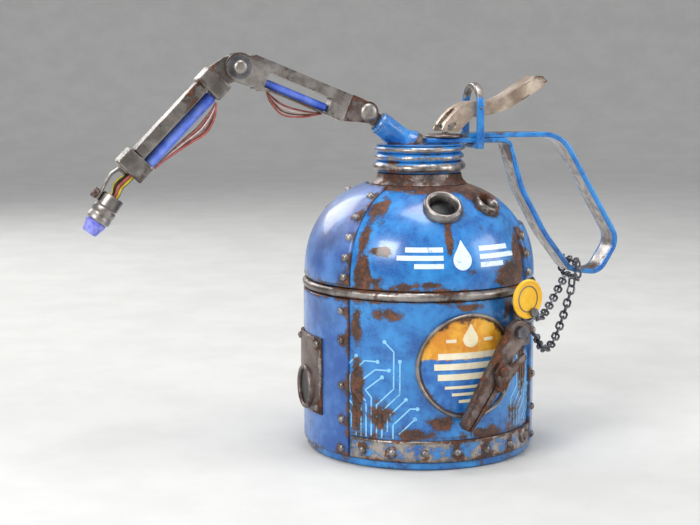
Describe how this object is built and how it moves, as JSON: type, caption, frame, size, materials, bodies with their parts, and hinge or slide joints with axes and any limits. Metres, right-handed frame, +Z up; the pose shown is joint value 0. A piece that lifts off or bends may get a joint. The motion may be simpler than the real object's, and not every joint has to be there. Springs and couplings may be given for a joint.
{
  "type": "pump oiler can",
  "caption": "Thumb-pump oiler can: riveted domed tank, screw-on pump head with strap handle, jointed three-link spout, keeper chain, tag and spring clip.",
  "frame": {"origin": "centre of the flat underside of the tank, on the surface it stands on", "axes": "+Z up along the tank axis, -X toward the spout, +X toward the handle, -Y the front with the badge"},
  "size_m": [0.2413, 0.1115, 0.1729],
  "materials": {
    "blue_paint": "worn gloss enamel with rust",
    "violet_paint": "worn pearl enamel",
    "worn_steel": "worn, scratched steel",
    "dark_steel": "dark oily steel",
    "rusty_steel": "rusted steel",
    "beige_steel": "thumb-worn steel with rust specks",
    "blue_tube": "gloss lacquer",
    "violet_tip": "gloss lacquer",
    "dark_glass": "dark tinted glass",
    "brass": "drawn brass",
    "leather": "oiled leather",
    "rubber": "matte",
    "wire_red": "wire insulation",
    "wire_yellow": "wire insulation",
    "tag_yellow": "enamelled disc",
    "badge_face": "printed tin"
  },
  "bodies": {
    "can": {"base_pan": "blue_paint", "tank_wall": "blue_paint", "seam_bead": "worn_steel", "dome": "blue_paint", "threaded_neck": "rusty_steel", "neck_gasket": "rubber", "side_plate_left": "violet_paint", "side_plate_right": "blue_paint", "dome_plate_left": "violet_paint", "dome_plate_right": "blue_paint", "base_band": "blue_paint", "port_plate": "rusty_steel", "port_glass": "dark_glass", "porthole_front_bezel": "worn_steel", "porthole_front_glass": "dark_glass", "porthole_side_bezel": "worn_steel", "porthole_side_glass": "dark_glass", "badge_rim": "worn_steel", "badge_disc": "badge_face", "screw_cap": "blue_paint", "pump_gland": "rusty_steel", "spout_stub": "blue_paint", "handle_strap": "blue_paint", "lever_arch": "blue_paint", "lever_pin": "worn_steel", "pump_barrel": "brass", "dip_tube": "brass", "strainer": "brass", "return_spring": "worn_steel", "chain_short_strand": "dark_steel", "chain_slack_strand": "dark_steel", "chain_wrap": "dark_steel", "chain_ring": "dark_steel", "anchor_bracket": "dark_steel"},
    "inlet_valve": {"inlet_ball": "worn_steel"},
    "lever": {"thumb_lever": "beige_steel"},
    "piston_rod": {"plunger": "worn_steel", "piston_cup": "leather"},
    "upper_arm": {"upper_arm_frame": "worn_steel", "upper_arm_tube": "blue_tube", "shoulder_clevis": "rusty_steel", "shoulder_bolt": "worn_steel", "elbow_bolt": "worn_steel", "upper_arm_wires": "wire_red"},
    "forearm": {"elbow_knuckle": "worn_steel", "forearm_collar_upper": "worn_steel", "forearm_channel": "worn_steel", "forearm_tube": "blue_tube", "forearm_collar_lower": "worn_steel", "forearm_wires": "wire_red", "wrist_bracket": "worn_steel"},
    "nozzle_head": {"nozzle_collar": "worn_steel", "wrist_knob": "rusty_steel", "wrist_wires": "wire_yellow"},
    "nozzle": {"nozzle_ring": "worn_steel", "nozzle_tip": "violet_tip"},
    "clip": {"clip_body": "rusty_steel"},
    "clip_lever": {"clip_jaw": "rusty_steel", "clip_spring": "worn_steel"},
    "tag": {"round_tag": "tag_yellow"}
  },
  "joints": [
    {"name": "lever_press", "type": "hinge", "parent": "can", "child": "lever", "pos_m": [0.025, 0, 0.149], "axis": [0, 1, 0], "range_deg": [0, 18], "stiffness_Nm_per_rad": 0.12, "springref_deg": -8.59},
    {"name": "plunger_stroke", "type": "slide", "parent": "can", "child": "piston_rod", "axis": [0, 0, 1], "range_m": [0, 0.005], "deforming": ["return_spring"]},
    {"name": "inlet_ball_lift", "type": "slide", "parent": "can", "child": "inlet_valve", "axis": [0, 0, 1], "range_m": [0, 0.0012]},
    {"name": "shoulder_tilt", "type": "hinge", "parent": "can", "child": "upper_arm", "pos_m": [-0.025, 0, 0.1476], "axis": [0, 1, 0], "range_deg": [-12, 40]},
    {"name": "elbow_bend", "type": "hinge", "parent": "upper_arm", "child": "forearm", "pos_m": [-0.0809, 0, 0.1667], "axis": [0, 1, 0], "range_deg": [-30, 45]},
    {"name": "wrist_bend", "type": "hinge", "parent": "forearm", "child": "nozzle_head", "pos_m": [-0.1356, 0, 0.1111], "axis": [-0.8131, 0, 0.5821], "range_deg": [-25, 25]},
    {"name": "nozzle_turn", "type": "hinge", "parent": "nozzle_head", "child": "nozzle", "pos_m": [-0.1356, 0, 0.1111], "axis": [-0.5821, 0, -0.8131], "range_deg": [0, 90]},
    {"name": "clip_swing", "type": "hinge", "parent": "can", "child": "clip", "pos_m": [0.02616, -0.05119, 0.0573], "axis": [0.2419, -0.9703, 0], "range_deg": [-15, 33]},
    {"name": "clip_squeeze", "type": "hinge", "parent": "clip", "child": "clip_lever", "pos_m": [0.01631, -0.05365, 0.04208], "axis": [0.2419, -0.9703, 0], "range_deg": [0, 20], "stiffness_Nm_per_rad": 0.02, "springref_deg": -8.59},
    {"name": "tag_turn", "type": "hinge", "parent": "can", "child": "tag", "pos_m": [0.03313, -0.04971, 0.065], "axis": [0.3746, -0.9272, 0], "range_deg": [-30, 10]}
  ],
  "couplings": [
    {"joint": "plunger_stroke", "follows": "lever_press", "m_per_rad": 0.01552}
  ]
}
